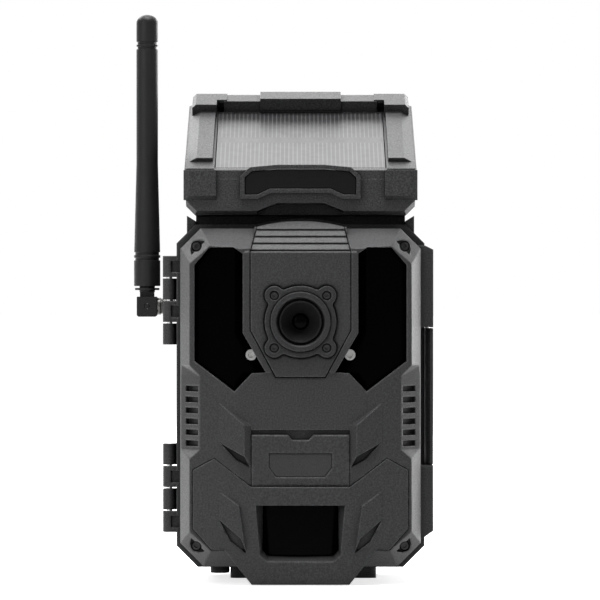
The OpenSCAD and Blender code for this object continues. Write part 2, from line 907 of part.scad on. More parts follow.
module each_cell() {
    for (i = [-1.5:1:1.5], k = [0, 1])
        translate([i * cell_pitch, tray_front + (k + 0.5) * cell_pitch, 0]) children();
}

module battery_cells() {
    color([0.78, 0.62, 0.3]) each_cell() {
        translate([0, 0, cell_low]) cylinder(r = cell_r, h = cell_h);
        translate([0, 0, cell_low + cell_h - eps]) cylinder(r = nub_r, h = nub_h);
    }
}

module battery_springs() {
    color("silver") each_cell() translate([0, 0, tray_low + tray_wall])
        cylinder(r1 = spring_r, r2 = nub_r, h = spring_h);
}

module tray_screws() {
    color("silver") for (x = [-tray_screw_x, tray_screw_x])
        screw_y([x, tray_high + tray_tab / 2], tray_back - tray_wall, neck_head_h, neck_head_r,
            tray_back + tray_bite, neck_shank_r);
}

module hinge_pins() {
    color("silver") {
        for (top = [upper_hinge_top, lower_hinge_top])
            rod_z(hinge_x, seam_y, top - 4 * knuckle_pitch + knuckle_gap, top, hinge_pin_r);
    }
}

// Side latch
module latch_lever() {
    color([0.2, 0.2, 0.2]) difference() {
        union() {
            box([latch_x, latch_front, latch_low], [latch_x + latch_t, latch_pin_y, latch_high]);
            rod_z(latch_pin_x, latch_pin_y, latch_low, latch_high, latch_t / 2);
        }
        rod_z(latch_pin_x, latch_pin_y, latch_low - over, latch_high + over, latch_pin_r + run);
        post(latch_low - over, latch_high + over) polygon([
            [latch_x - over, latch_front - over], [latch_x + latch_nose, latch_front - eps],
            [latch_x - eps, latch_front + latch_nose]
        ]);
        for (z = [-2:2])
            translate([0, latch_front, latch_z + z * latch_ribs[2]])
                box([block_x - latch_groove, latch_ribs[0], -latch_groove],
                    [block_x + over, latch_ribs[1], latch_groove]);
    }
}

module latch_pin() {
    color("silver")
        rod_z(latch_pin_x, latch_pin_y, latch_low - pass - ear_h, latch_high + pass + ear_h, latch_pin_r);
}

// Strap bracket on the back
module strap_bracket() {
    outer = strap_h / 2 + strap_rib;
    color([0.22, 0.22, 0.23]) difference() {
        union() {
            slab(bracket_y, bracket_back) hull() {
                for (x = [-1, 1], z = [-1, 1])
                    translate([x * (strap_half - strap_round), strap_z + z * (outer - strap_round)])
                        circle(r = strap_round, $fn = 32);
            }
            for (z = [-1, 1]) translate([0, 0, strap_z + z * bracket_screw_z])
                box([-strap_half + strap_inset, rear_y, -strap_rib / 2],
                    [strap_half - strap_inset, bracket_y + eps, strap_rib / 2]);
        }
        for (spot = bracket_spots) {
            rod_y(spot[0], spot[1], rear_y - over, bracket_back + over, bracket_shank_r + run);
            rod_y(spot[0], spot[1], bracket_head_y, bracket_back + over, bracket_head_r + seat);
        }
    }
}

module bracket_screws() {
    color("silver") for (spot = bracket_spots) {
        mirror([0, 1, 0])
            screw_y(spot, -bracket_head_y, bracket_head_h, bracket_head_r, -rear_y + bracket_bite,
                bracket_shank_r);
    }
}

module power_jack() {
    floor_z = case_bottom + wall;
    color([0.08, 0.08, 0.08]) difference() {
        box([plug_x - jack_body_half, plug_y - jack_body_half, floor_z],
            [plug_x + jack_body_half, plug_y + jack_body_half, floor_z + jack_body_h]);
        rod_z(plug_x, plug_y, floor_z - over, floor_z + jack_body_h - jack_roof, plug_r + seat);
    }
}

module jack_plug() {
    color([0.12, 0.12, 0.12]) {
        post(plug_head_low, plug_head_top) hull() {
            translate([plug_x, plug_y]) circle(r = plug_head_r, $fn = 32);
            translate([plug_x, plug_y - plug_tab]) circle(r = plug_head_r, $fn = 32);
        }
        rod_z(plug_x, plug_y, plug_head_top - eps, case_bottom + wall + plug_reach, plug_r);
    }
}

// Antenna
module antenna_jack() {
    color([0.8, 0.78, 0.7]) {
        rod_x(antenna_y, antenna_z, -side_half - jack_out, -side_half + jack_in, jack_r);
        translate([-side_half - jack_hex_t, antenna_y, antenna_z]) rotate([0, 90, 0])
            cylinder(r = jack_hex_r, h = jack_hex_t, $fn = 6);
    }
}

module antenna_nut() {
    length = nut_end - nut_x;
    color([0.75, 0.74, 0.7]) difference() {
        rod_x(antenna_y, antenna_z, nut_x, nut_end, nut_r);
        rod_x(antenna_y, antenna_z, nut_x + nut_web, nut_end + over, jack_r + run);
        rod_x(antenna_y, antenna_z, nut_x - over, nut_x + nut_web + over, stub_r + run);
        for (k = nut_rings) translate([nut_x + k * length, antenna_y, antenna_z])
            rotate([0, 90, 0]) difference() {
                cylinder(r = nut_r + over, h = nut_groove_w);
                translate([0, 0, -over]) cylinder(r = nut_r - nut_groove, h = nut_groove_w + 2 * over);
            }
    }
}

module at_pivot() {
    translate([antenna_x, antenna_y, antenna_z]) children();
}

module antenna_elbow() {
    slot_half = tongue_t / 2 + slot_gap;
    reach = tongue_half + slot_gap;
    color([0.13, 0.13, 0.14]) at_pivot() difference() {
        union() {
            intersection() {
                box([-elbow_half, -elbow_half, -elbow_low], [elbow_half, elbow_half, elbow_high]);
                rod_y(0, 0, -elbow_w, elbow_w, elbow_round);
            }
            rod_x(0, 0, elbow_half - over, elbow_half + nut_web - run, stub_r);
        }
        rod_y(0, 0, -slot_half, slot_half, reach);
        box([-reach, -slot_half, 0], [reach, slot_half, elbow_w]);
        box([-elbow_w, -slot_half, -reach], [0, slot_half, reach]);
        box([-elbow_w, -slot_half, 0], [0, slot_half, elbow_w]);
        rod_y(0, 0, -elbow_w, elbow_w, elbow_pin_r + run);
    }
}

module elbow_pin() {
    color("silver") at_pivot() rod_y(0, 0, -elbow_half, elbow_half, elbow_pin_r);
}

module antenna_core() {
    color([0.1, 0.1, 0.11]) at_pivot() difference() {
        union() {
            rod_y(0, 0, -tongue_t / 2, tongue_t / 2, tongue_half);
            box([-tongue_half, -tongue_t / 2, 0], [tongue_half, tongue_t / 2, core_from + eps]);
            cylinder_from(core_r, core_from, core_to);
            cylinder_from(disc_r, disc_from, disc_from + disc_t);
        }
        rod_y(0, 0, -tongue_t, tongue_t, elbow_pin_r + run);
    }
}

module cylinder_from(r, z0, z1) {
    translate([0, 0, z0]) cylinder(r = r, h = z1 - z0);
}

module antenna_whip() {
    dome = [
        for (i = [1:dome_steps])
        let (a = 90 * i / dome_steps)
        [shaft_r * cos(a), antenna_h - dome_h + dome_h * sin(a)]
    ];
    color([0.15, 0.15, 0.16]) at_pivot() difference() {
        rotate_extrude($fn = 64) polygon(concat(
            [
                [0, sleeve_from], [sleeve_r, sleeve_from], [sleeve_r, sleeve_to],
                [sleeve_r - groove_depth, sleeve_to], [sleeve_r - groove_depth, band_from],
                [sleeve_r, band_from], [sleeve_r, band_to],
                [sleeve_r - groove_depth, band_to], [sleeve_r - groove_depth, taper_from],
                [sleeve_r - run, taper_from], [shaft_r, taper_to],
                [shaft_r, antenna_h - dome_h]
            ],
            dome
        ));
        for (z = [antenna_h - groove_top, antenna_h - groove_low]) translate([0, 0, z]) difference() {
            cylinder(r = shaft_r + over, h = groove_w);
            translate([0, 0, -over]) cylinder(r = shaft_r - groove_depth, h = groove_w + 2 * over);
        }
        cylinder_from(core_r + run, sleeve_from - over, core_to + run);
    }
}

// Solar head, in a frame with Y up along the panel and Z away from it
module on_slope() {
    translate([0, lip_y, lip_top]) rotate([head_tilt, 0, 0]) children();
}

// Point of the side profile at u up the slope and n above the panel
function slope_point(u, n) = [
    lip_y + u * cos(head_tilt) - n * sin(head_tilt),
    lip_top + u * sin(head_tilt) + n * cos(head_tilt)
];

module neck_block() {
    color([0.2, 0.2, 0.2]) difference() {
        slab(neck_y0, neck_y1) polygon(both([
            [neck_line, case_top], [neck_half, case_top - neck_half + neck_line],
            [neck_half, neck_crest], [neck_half - neck_arm, neck_crest - neck_dip],
            [neck_half - neck_arm, head_bottom]
        ]));
        box([-neck_half + neck_arm, neck_y0 - over, case_top - far],
            [neck_half - neck_arm, neck_y0 + neck_recess, head_bottom + over]);
        for (spot = neck_spots)
            rod_z(spot[0], spot[1], case_top - over, head_bottom + over, neck_shank_r + run);
    }
}

module neck_screws() {
    head_z = bay_floor - neck_head_h;
    color("silver") for (spot = neck_spots) {
        rod_z(spot[0], spot[1], head_z, bay_floor - 2 * run, neck_head_r);
        rod_z(spot[0], spot[1], case_top - wall, head_z + eps, neck_shank_r);
    }
}

module head_shell() {
    front_top = slope_point(shell_n * tan(head_tilt), shell_n);
    rear_top = slope_point(shell_end, shell_n);
    half = head_half - shell_in;
    front_in = lip_cut / sqrt(2);
    rear_in = rear_cut / sqrt(2);
    color([0.24, 0.24, 0.25]) difference() {
        beam(-half, half) polygon([
            [lip_y, lip_low], [lip_y + lip_bevel, head_bottom], [rear_top[0], head_bottom],
            rear_top, front_top
        ]);
        both_sides() translate([half, 0, head_bottom]) rotate([0, -45, 0]) beam(-far, far) polygon([
            [lip_y - over, -over], [lip_y - over, front_in + (front_in - rear_in) * over / lip_sweep],
            [lip_y + lip_sweep, rear_in], [head_rear_y + far, rear_in], [head_rear_y + far, -over]
        ]);
        slab(lip_y - over, notch_back) polygon(both([
            [lip_notch[0], head_bottom - over], [lip_notch[0], lip_low],
            [lip_notch[1], lip_low + lip_notch[2]]
        ]));
        box([-bay_half, bay_y0, bay_floor], [bay_half, bay_y1, head_bottom + far]);
        for (spot = neck_spots) {
            rod_z(spot[0], spot[1], head_bottom - over, bay_floor + over, neck_shank_r + run);
            rod_z(spot[0], spot[1], bay_floor - neck_head_h, bay_floor + over, neck_head_r + seat);
        }
    }
}

module head_frame() {
    color([0.55, 0.55, 0.56]) {
        intersection() {
            on_slope() difference() {
                union() {
                    slope_bar(-head_half, head_half, -rail_root, head_d, shell_n, 0);
                    both_sides() rail();
                    both_sides() cap();
                    slope_bar(-bar_half - over, bar_half + over, bar_u, head_d, -rail_root, bar_n);
                    slope_bar(-visor_half, visor_half, bar_u - visor_out, head_d, 0, visor_n);
                    both_sides() slope_bar(rail_in - rail_ledge / 2, head_half - rail_ledge,
                        -rail_root, guard_u + over, -rail_root, guard_n);
                }
                slope_bar(-panel_half - seat, panel_half + seat, panel_u - seat, bar_u - visor_out / 2,
                    shell_n - over, panel_room);
            }
            box([-far, lip_y, 0], [far, far, 4 * far]);
        }
        both_sides() guard();
    }
}

module slope_bar(x0, x1, u0, u1, n0, n1) {
    box([x0, u0, n0], [x1, u1, n1]);
}

// Outline drawn across the slope, run from u0 to the rear end of the head
module slope_run_from(u0) {
    translate([0, head_d, 0]) rotate([90, 0, 0]) linear_extrude(height = head_d - u0) children();
}

module rail() {
    slope_run_from(guard_u) polygon([
        [rail_in, -rail_root], [rail_in + rail_ledge, rail_h], [head_half - rail_bevel, rail_h],
        [head_half - rail_ledge, 0], [head_half - rail_ledge, -rail_root]
    ]);
}

module cap() {
    difference() {
        slope_run_from(cap_u) polygon([
            [bar_half, -rail_root], [bar_half, cap_n], [cap_out - cap_edge, cap_n],
            [cap_out, cap_n - cap_edge], [cap_out, -rail_root]
        ]);
        slope_bar(bar_half - over, rail_in, cap_u - over, head_d - cap_roof, 0, cap_n + over);
        slope_bar(bar_half - over, rail_in, cap_u - over, head_d - cap_roof_t, 0, cap_n - cap_roof_t);
    }
}

// Corner guard on the lip, with a key that runs back into the frame
module guard() {
    top = slope_point(0, guard_n)[1] - rail_ledge;
    intersection() {
        slab(guard_y, lip_y) polygon([
            [guard_in, guard_low], [guard_out, guard_low], [guard_out, top], [guard_in, top]
        ]);
        beam(guard_in - over, guard_out + over) polygon([
            [guard_y, guard_low + guard_bevel[1]], [lip_y, guard_low], [lip_y, top + over],
            [guard_y, top + over]
        ]);
        post(guard_low - over, top + over) polygon([
            [guard_in - over, guard_y], [guard_out - guard_bevel[0], guard_y], [guard_out, lip_y],
            [guard_in - over, lip_y]
        ]);
    }
    box([guard_in + over, guard_y + 2 * rail_ledge, lip_top - guard_key[1]],
        [head_half - over, lip_y + guard_key[0], lip_top - rail_ledge]);
}

module badge_frame() {
    color([0.25, 0.25, 0.26]) slab(badge_y, lip_y) difference() {
        polygon(badge_edge);
        polygon(inset(badge_edge, badge_rim));
    }
}

module badge_plate() {
    color([0.12, 0.12, 0.12]) slab(badge_y + badge_step, lip_y)
        polygon(inset(badge_edge, badge_rim + seat / 2));
}

module panel_tray() {
    color([0.9, 0.9, 0.88]) on_slope()
        slope_bar(-panel_half, panel_half, panel_u, bar_u - visor_out, shell_n, -panel_t);
}

module solar_panel() {
    color([0.75, 0.75, 0.76]) on_slope()
        slope_bar(-panel_half, panel_half, panel_u, bar_u - visor_out, -panel_t, 0);
}

module backup_battery() {
    color([0.2, 0.35, 0.6]) for (k = [0, 1])
        rod_x(bay_y1 - (k + 0.5) * cell_pitch, bay_floor + cell_r, -cell_h / 2, cell_h / 2, cell_r);
}

module charge_board() {
    low = bay_floor;
    color([0.1, 0.35, 0.2]) {
        box([-charge_half, bay_y0 + charge_gap, low],
            [charge_half, bay_y0 + charge_gap + charge_d, low + board_t]);
        for (chip = charge_chips)
            box([chip[0] - chip[1], bay_y0 + 2 * over, low + board_t - eps],
                [chip[0] + chip[1], bay_y0 + charge_d - over, low + board_t + chip[2]]);
    }
}

// Door
module front_bezel() {
    color([0.26, 0.26, 0.27]) difference() {
        union() {
            slab(wall_y - eps, door_rear_y) {
                flange_outline(0);
                arch_outline(case_top + arch_rise, arch_half);
            }
            intersection() {
                union() {
                    slab(bevel_y - eps, wall_y) polygon(door_ring(bevel_y));
                    loft(door_ring(loft_y), loft_y, door_ring(bevel_y), bevel_y);
                }
                behind_front(front_y, fold_x, fold_slope);
            }
            column_block();
            both_sides() chest_wing();
            for (top = door_knuckles()) knuckle(top, -1);
            upper_block();
            lower_block();
        }
        door_cavity();
        both_sides() window_opening();
        both_sides() slab(cut_y, front_y + vent_depth) polygon(chest_vent);
        plate_pocket();
        rod_y(0, lens_z, column_y - over, bevel_y, barrel_r + seat);
        box([-chest_half - seat, cut_y, chest_low - over],
            [chest_half + seat, chest_floor, chest_top + chest_groove]);
        bib_pocket();
        both_sides() grip_cut();
        for (spot = corner_spots) corner_cut(spot);
        for (top = door_knuckles()) knuckle_pocket(top);
        hinge_bores();
    }
}

module column_block() {
    intersection() {
        slab(column_y - eps, wall_y) {
            polygon(both([
                [column_foot_half, column_foot], [column_half, column_low],
                [column_half, window_top - window_eave], [shoulder_half, window_top + shoulder_drop],
                [shoulder_half, shoulder_z]
            ]));
            arch_outline(case_top + plate_arch + seat, shoulder_half);
        }
        beam(-column_half - over, column_half + over) polygon([
            [column_y, 0], [wall_y + over, 0], [wall_y + over, slope_z + slope_rise],
            [slope_end_y, slope_z + slope_rise], [column_y, slope_z]
        ]);
    }
}

module plate_outline(grow, lift) {
    polygon(inset(both([
        [plate_foot_half, plate_foot], [plate_half, plate_low], [plate_half, slope_z],
        [plate_top_half, plate_shoulder]
    ]), -grow));
    arch_outline(case_top + plate_arch + lift, plate_top_half + grow);
}

// Folded slab that runs up the column and back over its slope, from the depth front to the plate's back
module plate_fold(front, lift) {
    back = plate_y + plate_t;
    drop = plate_t * slope_rise / slope_run;
    top = slope_z + slope_rise;
    beam(-column_half - over, column_half + over) polygon([
        [front, 0], [back, 0], [back, slope_z - drop + over], [back + slope_run, top - drop + over],
        [back + slope_run, top + lift], [front + slope_run, top + lift], [front, slope_z]
    ]);
}

module plate_pocket() {
    intersection() {
        slab(column_y - 2 * over, wall_y) plate_outline(plate_gap, over);
        plate_fold(column_y - 2 * over, over);
    }
}

module lens_plate() {
    color([0.28, 0.28, 0.29]) difference() {
        intersection() {
            slab(plate_y, wall_y) plate_outline(0, 0);
            plate_fold(plate_y, 0);
        }
        rod_y(0, lens_z, plate_y - over, plate_y + plate_t + over, ring_hole_r + run);
        for (k = [0:louvre_count - 1]) louvre(slope_z + (k + louvre_start) * louvre_pitch);
        rod_y(0, lens_z, plate_y - over, ring_back_y, ring_r + ring_gap);
        for (spot = ring_spots) {
            rod_y(spot[0], spot[1], plate_y - over, ring_back_y, ear_r + ring_gap);
            rod_y(spot[0], spot[1], plate_y - over, plate_y + plate_t + over, ring_shank_r + run);
        }
    }
}

module louvre(z) {
    y = plate_y + (z - slope_z) * slope_run / slope_rise;
    box([-far, y - over, z], [far, y + louvre_d, z + louvre_w]);
}

module lens_ring() {
    color([0.3, 0.3, 0.31]) difference() {
        union() {
            slab(ring_flange_y, ring_back_y) offset(r = -ear_fillet) offset(delta = ear_fillet) {
                translate([0, lens_z]) circle(r = ring_r, $fn = 96);
                for (spot = ring_spots) translate(spot) circle(r = ear_r, $fn = 48);
            }
            rod_y(0, lens_z, ring_y, ring_flange_y + eps, ring_raise_r, $fn = 96);
        }
        rod_y(0, lens_z, ring_y - over, ring_back_y + over, ring_hole_r);
        cone_y(0, lens_z, ring_y - eps, ring_y + ring_t * ring_dish, ring_step_r, ring_hole_r);
        difference() {
            rod_y(0, lens_z, ring_y - over, ring_flange_y + ring_groove, ring_raise_r + ring_groove);
            rod_y(0, lens_z, ring_y - 2 * over, ring_flange_y + over, ring_raise_r);
        }
        for (spot = ring_spots) {
            rod_y(spot[0], spot[1], ring_y - over, ring_flange_y + ring_sink, ring_head_r + ring_head_gap);
            rod_y(spot[0], spot[1], ring_y - over, ring_back_y + over, ring_shank_r + run);
        }
    }
}

module ring_screws() {
    color([0.5, 0.5, 0.5]) for (spot = ring_spots)
        screw_y(spot, ring_flange_y + ring_sink, ring_head_h, ring_head_r, plate_y + plate_t, ring_shank_r);
}

module lens_barrel() {
    color([0.06, 0.06, 0.07]) difference() {
        rod_y(0, lens_z, barrel_y, barrel_back, barrel_r);
        rod_y(0, lens_z, barrel_y - over, throat_y, mouth_r);
        cone_y(0, lens_z, throat_y - eps, pupil_y, throat_r, pupil_r);
        rod_y(0, lens_z, pupil_y - over, barrel_back + over, pupil_r);
    }
}

module lens_glass() {
    color([0.2, 0.22, 0.26]) intersection() {
        rod_y(0, lens_z, pupil_y - glass_rise - over, pupil_y + glass_t, glass_r);
        translate([0, pupil_y - glass_rise + glass_sphere_r, lens_z]) sphere(r = glass_sphere_r, $fn = 96);
    }
}

module camera_module() {
    color([0.1, 0.1, 0.1]) {
        box([-module_half, barrel_back, lens_z - module_half], [module_half, board_y, lens_z + module_half]);
    }
}

// Left infrared window and its opening
module window_opening() {
    slab(cut_y, column_back) polygon(window_edge);
    slab(column_back - eps, ledge_y) polygon(window_hidden);
}

module window_fold_profile() {
    ridge = face_y(window_fold) + window_recess;
    outer = face_y(window_out + over) + window_recess;
    inner_x = column_foot_half - window_under - over;
    inner = ridge + (window_fold - inner_x) * window_fall;
    post(0, case_top) polygon([
        [-window_out - over, outer], [-window_fold, ridge], [-inner_x, inner],
        [-inner_x, inner + window_t], [-window_fold, ridge + window_t], [-window_out - over, outer + window_t]
    ]);
}

module infrared_window() {
    difference() {
        intersection() {
            slab(front_y, ledge_y) polygon(inset(window_hidden, seat));
            window_fold_profile();
        }
        rod_y(-window_screw[0], window_screw[1], front_y, ledge_y, window_screw_shank + run);
    }
}

module window_left() {
    color([0.02, 0.02, 0.02]) infrared_window();
}

module window_right() {
    color([0.02, 0.02, 0.02]) mirror([1, 0, 0]) infrared_window();
}

module window_screws() {
    head = column_back + window_head_h + pass;
    color("silver") both_sides()
        screw_y([-window_screw[0], window_screw[1]], head, window_head_h, window_screw_r,
            led_board_y - pass, window_screw_shank);
}

module led_board() {
    slab(led_board_y, ledge_y) polygon(inset(led_board_edge, seat));
}

module led_board_left() {
    color([0.1, 0.3, 0.15]) led_board();
}

module led_board_right() {
    color([0.1, 0.3, 0.15]) mirror([1, 0, 0]) led_board();
}

module infrared_leds() {
    color([0.2, 0.1, 0.2]) both_sides()
        for (k = [0:led_columns - 1], i = [0:led_rows - 1])
            infrared_led(-window_fold - led_start[0] - k * led_pitch, lens_z - led_start[1] + i * led_pitch);
}

module infrared_led(x, z) {
    rod_y(x, z, led_board_y - led_h, led_board_y, led_r);
    intersection() {
        translate([x, led_board_y - led_h, z]) sphere(r = led_r, $fn = 24);
        rod_y(x, z, led_board_y - led_h - 2 * led_r, led_board_y, led_r);
    }
}

// Chest
module chest_wing() {
    edge = -chest_half - chest_edge;
    intersection() {
        loft(chest_wing_crest, front_y - chest_wing_rise, chest_wing_base, front_y + over);
        post(0, case_top) polygon([
            [-chest_wing_out, face_y(chest_wing_out)], [-chest_wing_in, front_y - chest_wing_rise],
            [edge, front_y - 2 * run], [edge, front_y + over], [-chest_wing_out, front_y + 3 * over]
        ]);
    }
}

module chest_panel() {
    color([0.27, 0.27, 0.28]) difference() {
        slab(chest_y, chest_floor) polygon(both([
            [chest_half, chest_low + seat], [chest_half, chest_top],
            [chest_notch[0], chest_top], [chest_notch[1], chest_top - chest_notch[2]]
        ]));
        slab(chest_y - over, chest_y + label_depth) polygon(label_outline(0));
    }
}

function label_outline(shrink) = inset(both([
    [label_half - label_cut[0], label_low], [label_half, label_low + label_cut[1]], [label_half, label_top]
]), shrink);

module label_plate() {
    color([0.22, 0.22, 0.23])
        slab(chest_y + label_depth - label_t, chest_y + label_depth) polygon(label_outline(seat / 2));
}

// Bib and motion sensor
module bib_pocket() {
    intersection() {
        slab(cut_y, bib_back + far) polygon(inset(bib_edge, -seat));
        difference() {
            box([-far, cut_y - over, -over], [far, bib_back + far, case_top]);
            behind_front(bib_back, fold_x, fold_slope);
        }
    }
    box([-pir_half - 2 * seat - tunnel_t, cut_y, pir_z - 2 * seat - tunnel_t],
        [pir_half + 2 * seat + tunnel_t, bevel_y + eps, pir_top + 2 * seat + tunnel_t]);
}

module bib_chin() {
    low_y = bib_back - bib_overlap;
    intersection() {
        slab(bib_y, bevel_y) polygon(bib_edge);
        beam(-bib_half, bib_half) polygon([
            [low_y, bib_z], [chin_back - chin_slope, bib_z],
            [chin_back, door_bottom + bevel_end * (bevel_y - chin_back) - pass],
            [low_y, door_bottom + bevel_end * (bevel_y - low_y) - pass]
        ]);
    }
}

module bib_wing() {
    crest_y = bib_y + (bib_wing_in - bib_fold) * bib_slope - bib_wing_rise;
    out_y = bib_y + (bib_wing_out - bib_fold) * bib_slope;
    intersection() {
        loft(bib_wing_crest, crest_y, bib_wing_base, bib_back - seat);
        post(0, case_top) polygon([
            [-bib_wing_out, out_y], [-bib_wing_in + bib_wing_flat, crest_y - seat],
            [-bib_wing_in + 2 * bib_wing_flat, bib_back],
            [-bib_wing_out, bib_back]
        ]);
    }
}

module lower_bib() {
    outer = pir_half + seat + tunnel_t;
    inner = pir_half + seat;
    mouth = both([
        [inner - pir_corner, pir_z - pir_sill], [inner + pir_mouth / 3, pir_z],
        [inner + pir_mouth, pir_top + seat]
    ]);
    throat = both([
        [inner - pir_corner, pir_z - seat], [inner, pir_z + pir_corner], [inner, pir_top + seat]
    ]);
    color([0.25, 0.25, 0.26]) difference() {
        union() {
            difference() {
                intersection() {
                    slab(bib_y - over, bib_back + far) polygon(bib_edge);
                    behind_front(bib_y, bib_fold, bib_slope);
                }
                behind_front(bib_back, fold_x, fold_slope);
            }
            bib_chin();
            box([-outer, bib_back - bib_overlap, pir_z - seat - tunnel_t],
                [outer, tunnel_y, pir_top + seat + tunnel_t]);
            both_sides() bib_wing();
        }
        both_sides() slab(cut_y, bib_back + far) polygon(bib_vent);
        loft(mouth, bib_y - over / 2, throat, pir_y);
        box([-inner, pir_y - eps, pir_z - seat], [inner, tunnel_y + over, pir_top + seat]);
    }
}

module motion_lens() {
    color([0.03, 0.03, 0.03]) intersection() {
        box([-pir_half, pir_y - 2 * pir_bulge, pir_z], [pir_half, pir_y + pir_t, pir_top]);
        rod_z(0, pir_y - pir_bulge + pir_curve, 0, case_top, pir_curve, $fn = 128);
    }
}

module motion_sensor() {
    z = (pir_z + pir_top) / 2;
    color([0.7, 0.7, 0.68]) {
        rod_y(0, z, board_y - pir_can_h, board_y, pir_can_r);
        rod_y(0, z, board_y - pir_flange, board_y, pir_can_r + pir_flange);
    }
}

// Side grip, with its slots cut in a face that leans back
module grip_cut() {
    deep = [
        [-grip_in, grip_front_y], [-side_half - grip_miss, bevel_y], [-far, bevel_y], [-far, cut_y],
        [-grip_in, cut_y]
    ];
    shallow = [
        [-grip_in - grip_fall, grip_front_y - seat], [-side_half - 2 * grip_miss, bevel_y], [-far, bevel_y],
        [-far, cut_y], [-grip_in - grip_fall, cut_y]
    ];
    lean = deep[1] - deep[0];
    turn = atan2(lean[1], lean[0]);
    stack([
        [grip_z - grip_flat - grip_ramp, shallow], [grip_z - grip_flat, deep],
        [grip_z + grip_flat, deep], [grip_z + grip_flat + grip_ramp, shallow]
    ]);
    for (k = [0:grip_count - 1])
        translate([
            (deep[0][0] + deep[1][0]) / 2, (deep[0][1] + deep[1][1]) / 2,
            grip_z - grip_slot_drop + (k - (grip_count - 1) / 2) * grip_pitch
        ])
            rotate([0, 0, turn]) translate([-grip_slot_w / 2 - grip_slot_in, -grip_slot_d, -grip_slot_h / 2])
                cube([grip_slot_w, grip_slot_d + 3 * over, grip_slot_h]);
}

module corner_cut(spot) {
    aside = -sign(spot[0]);
    up = sign(spot[1] - lens_z);
    rod_y(spot[0], spot[1], cut_y, corner_floor, corner_pocket_r);
    slab(cut_y, corner_facet) polygon([for (p = corner_edge) [spot[0] + aside * p[0], spot[1] + up * p[1]]]);
    rod_y(spot[0], spot[1], front_y, cover_y + over, corner_shank_r + run);
}

module corner_screws() {
    color([0.15, 0.15, 0.15]) for (spot = corner_spots)
        screw_y(spot, corner_floor, corner_head_h, corner_head_r, cover_y + cover_t, corner_shank_r);
}

module door_cavity() {
    difference() {
        slab(bevel_y - eps, seam_y) polygon(inset(door_ring(bevel_y), wall));
        for (spot = corner_spots) rod_y(spot[0], spot[1], bevel_y - over, cover_y, corner_boss_r);
    }
    slab(cavity_y, bevel_y) polygon(octagon(cavity_half, cavity_low, cavity_top, low_cut, top_cut));
}

module knuckle_pocket(top) {
    box([hinge_x + arm_root, wall_y - over, top - knuckle_h + arm_pocket],
        [-side_half - arm_root, seam_y - knuckle_r + arm_sink, top - arm_pocket]);
}

module upper_block() {
    low = latch_high + pass;
    slab(block_y, door_rear_y) polygon([
        [side_half - over, low], [block_x, low], [block_x, block_high],
        [block_x - block_cut, block_high + block_cut / 2], [side_half - over, block_high + block_cut / 2]
    ]);
}

module lower_block() {
    high = latch_low - pass;
    slab(block_y, door_rear_y) polygon([
        [side_half - over, block_low], [side_half + over / 2, block_low], [block_x, block_low + block_cut],
        [block_x, high], [side_half - over, high]
    ]);
}

// Inside of the door
module main_board() {
    color([0.08, 0.32, 0.18]) {
        box([-board_half, board_y, board_low], [board_half, board_y + board_t, board_high]);
    }
}

module inner_cover() {
    rear = cover_y + cover_t;
    color([0.16, 0.16, 0.17]) difference() {
        union() {
            slab(cover_y, rear) polygon(inset(door_ring(bevel_y), wall + seat));
            for (x = [-1, 1], z = [board_low + post_in, board_high - post_in])
                rod_y(x * (board_half - post_in), z, board_y + board_t, cover_y + eps, post_r);
        }
        for (spot = corner_spots)
            rod_y(spot[0], spot[1], cover_y - over, rear + over, corner_shank_r + run);
        for (z = [power_z, test_z]) rod_y(button_x, z, cover_y - over, rear + over, button_r + run);
        box([card_x - card_half - card_room[0], cover_y - over, card_low - card_room[1]],
            [card_x + card_half + card_room[0], rear + over, slot_high + over]);
    }
}

module push_switch(z) {
    box([button_x - switch_half, board_y + board_t, z - switch_half],
        [button_x + switch_half, switch_y, z + switch_half]);
}

module push_button(z) {
    rod_y(button_x, z, button_front_y, button_rear_y, button_r);
    rod_y(button_x, z, button_front_y, button_front_y + button_flange_t, button_flange_r);
}

module power_switch() {
    color([0.3, 0.3, 0.3]) push_switch(power_z);
}

module power_button() {
    color([0.7, 0.15, 0.1]) push_button(power_z);
}

module test_switch() {
    color([0.3, 0.3, 0.3]) push_switch(test_z);
}

module test_button() {
    color([0.45, 0.45, 0.46]) push_button(test_z);
}

module card_slot() {
    back = board_y + board_t;
    color([0.75, 0.75, 0.74]) difference() {
        box([card_x - card_half - slot_wall, back, slot_low],
            [card_x + card_half + slot_wall, card_y + card_t + card_gap + slot_wall, slot_high]);
        box([card_x - card_half - card_gap, card_y - card_gap, slot_low - over],
            [card_x + card_half + card_gap, card_y + card_t + card_gap, card_low + card_h + card_gap]);
    }
}

module memory_card() {
    color([0.1, 0.15, 0.3]) slab(card_y, card_y + card_t) polygon([
        [card_x - card_half, card_low], [card_x + card_half, card_low],
        [card_x + card_half, card_low + card_h - card_notch],
        [card_x + card_half - card_notch, card_low + card_h],
        [card_x - card_half, card_low + card_h]
    ]);
}

rear_housing();
base_socket();
door_gasket();
battery_tray();
battery_cells();
battery_springs();
tray_screws();
hinge_pins();
latch_lever();
latch_pin();
strap_bracket();
bracket_screws();
power_jack();
jack_plug();
antenna_jack();
antenna_nut();
antenna_elbow();
elbow_pin();
antenna_core();
antenna_whip();
neck_block();
neck_screws();
head_shell();
head_frame();
badge_frame();
badge_plate();
panel_tray();
solar_panel();
charge_board();
backup_battery();
front_bezel();
lens_plate();
lens_ring();
ring_screws();
lens_barrel();
lens_glass();
camera_module();
window_left();
window_right();
window_screws();
led_board_left();
led_board_right();
infrared_leds();
chest_panel();
label_plate();
lower_bib();
motion_lens();
motion_sensor();
corner_screws();
main_board();
inner_cover();
power_switch();
power_button();
test_switch();
test_button();
card_slot();
memory_card();
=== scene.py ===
import math

